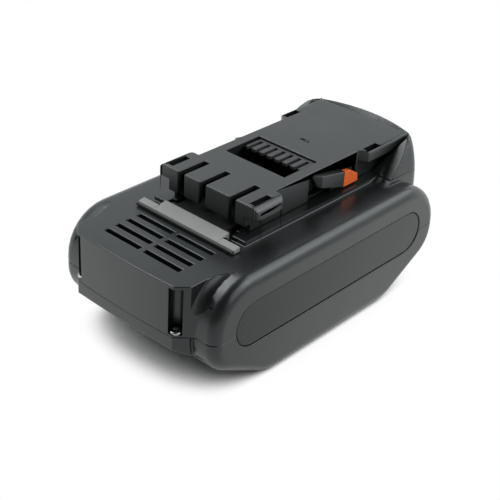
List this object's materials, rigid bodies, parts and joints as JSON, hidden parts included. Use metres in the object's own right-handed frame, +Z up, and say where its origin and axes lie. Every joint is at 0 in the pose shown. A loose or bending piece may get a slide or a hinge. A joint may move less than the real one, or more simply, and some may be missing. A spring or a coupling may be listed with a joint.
{
  "type": "slide-on tool battery pack",
  "caption": "Slide-on battery pack for cordless tools: rounded two-part case of cells, vented nose, lugged rail with contact comb, push bar that draws in two sprung side latches.",
  "frame": {"origin": "centre of the bounding box in plan, at the flat bottom", "axes": "+X to the right side, +Y to the rear with the tall end block, -Y to the vented nose, +Z up through the rail"},
  "size_m": [0.075, 0.1338, 0.058],
  "materials": {
    "case_black": "semi-gloss moulded",
    "tower_black": "fine moulded grain",
    "slide_grey": "satin",
    "flag_orange": "semi-gloss",
    "block_grey": "fine moulded grain",
    "panel_black": "satin",
    "steel": "bright zinc",
    "nickel": "plain nickel",
    "board_green": "solder mask",
    "holder_grey": "moulded",
    "sheet_tan": "pressed paper",
    "foam": "closed-cell foam",
    "cell_wrap": "shrink sleeve"
  },
  "bodies": {
    "housing": {"upper_case": "case_black", "lower_case": "case_black", "rail_tower": "tower_black", "release_spring": "steel", "latch_spring": "steel", "terminal_block": "block_grey", "terminal_clips": "nickel", "circuit_board": "board_green", "board_screws": "steel", "rail_screws": "steel", "case_screws": "steel", "cell_holder_left": "holder_grey", "cell_holder_right": "holder_grey", "nickel_strips_left": "nickel", "nickel_strips_right": "nickel", "insulator_left": "sheet_tan", "insulator_right": "sheet_tan", "side_panel_left": "panel_black", "side_panel_right": "panel_black", "floor_pads": "foam", "temperature_sensor": "panel_black", "cell_01": "cell_wrap", "cell_02": "cell_wrap", "cell_03": "cell_wrap", "cell_04": "cell_wrap", "cell_05": "cell_wrap", "cell_06": "cell_wrap", "cell_07": "cell_wrap", "cell_08": "cell_wrap", "cell_09": "cell_wrap", "cell_10": "cell_wrap"},
    "release": {"release_slide": "slide_grey"},
    "latch_left": {"latch_pawl_left": "tower_black", "lock_flag_left": "flag_orange"},
    "latch_right": {"latch_pawl_right": "tower_black", "lock_flag_right": "flag_orange"}
  },
  "joints": [
    {"name": "release_push", "type": "slide", "parent": "housing", "child": "release", "axis": [0, 1, 0], "range_m": [0, 0.0035], "stiffness_N_per_m": 150, "springref_m": -0.002, "deforming": ["release_spring"]},
    {"name": "latch_left_draw", "type": "slide", "parent": "housing", "child": "latch_left", "axis": [1, 0, 0], "range_m": [0, 0.00245]},
    {"name": "latch_right_draw", "type": "slide", "parent": "housing", "child": "latch_right", "axis": [-1, 0, 0], "range_m": [0, 0.00245], "deforming": ["latch_spring"]}
  ],
  "couplings": [
    {"joint": "latch_left_draw", "follows": "release_push", "ratio": 0.7},
    {"joint": "latch_right_draw", "follows": "release_push", "ratio": 0.7}
  ]
}
